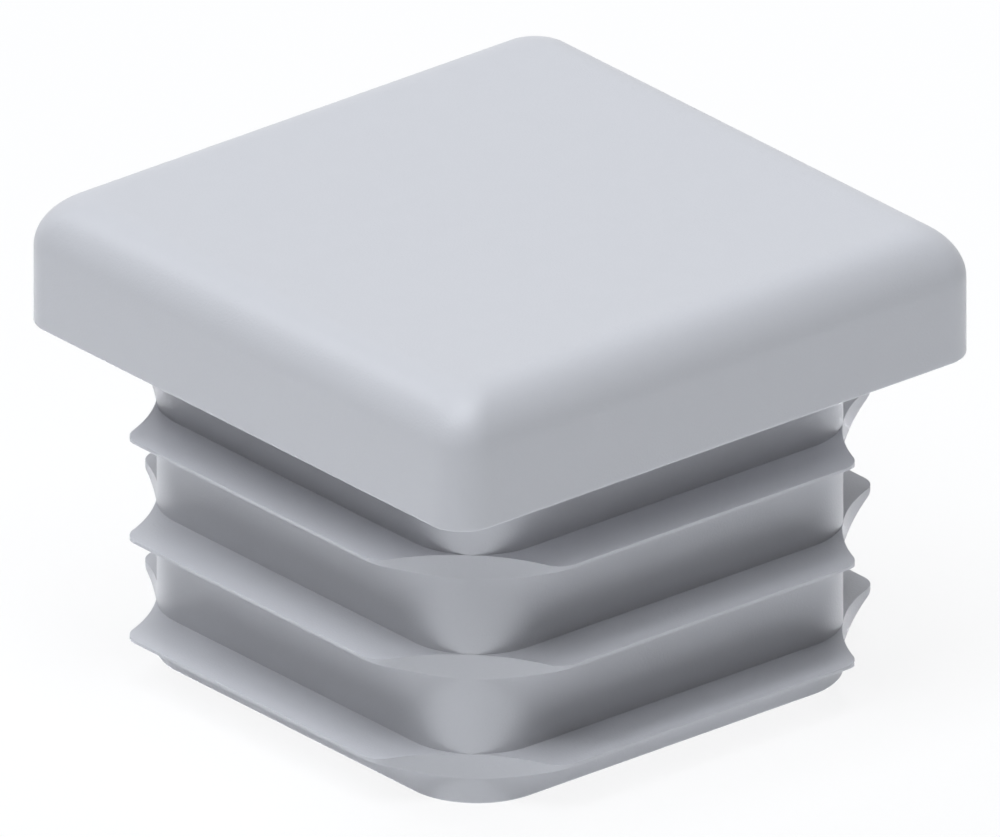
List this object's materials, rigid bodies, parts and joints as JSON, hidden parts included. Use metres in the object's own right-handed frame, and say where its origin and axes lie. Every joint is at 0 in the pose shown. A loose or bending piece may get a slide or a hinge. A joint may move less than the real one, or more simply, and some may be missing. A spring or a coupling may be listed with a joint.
{
  "type": "square tube end cap",
  "caption": "Square push-in end cap for a square tube: rounded head on a hollow stem ringed by thin wedge fins.",
  "frame": {"origin": "centre of the stem's open rim, on the plane that the cap stands on", "axes": "+Z along the cap's axis from the stem's open rim to the top of the head; +X and +Y square to two neighbouring sides"},
  "size_m": [0.025, 0.025, 0.018],
  "materials": {
    "light_grey_polyethylene": "satin, as moulded"
  },
  "bodies": {
    "root": {"end_cap": "light_grey_polyethylene"}
  },
  "joints": []
}
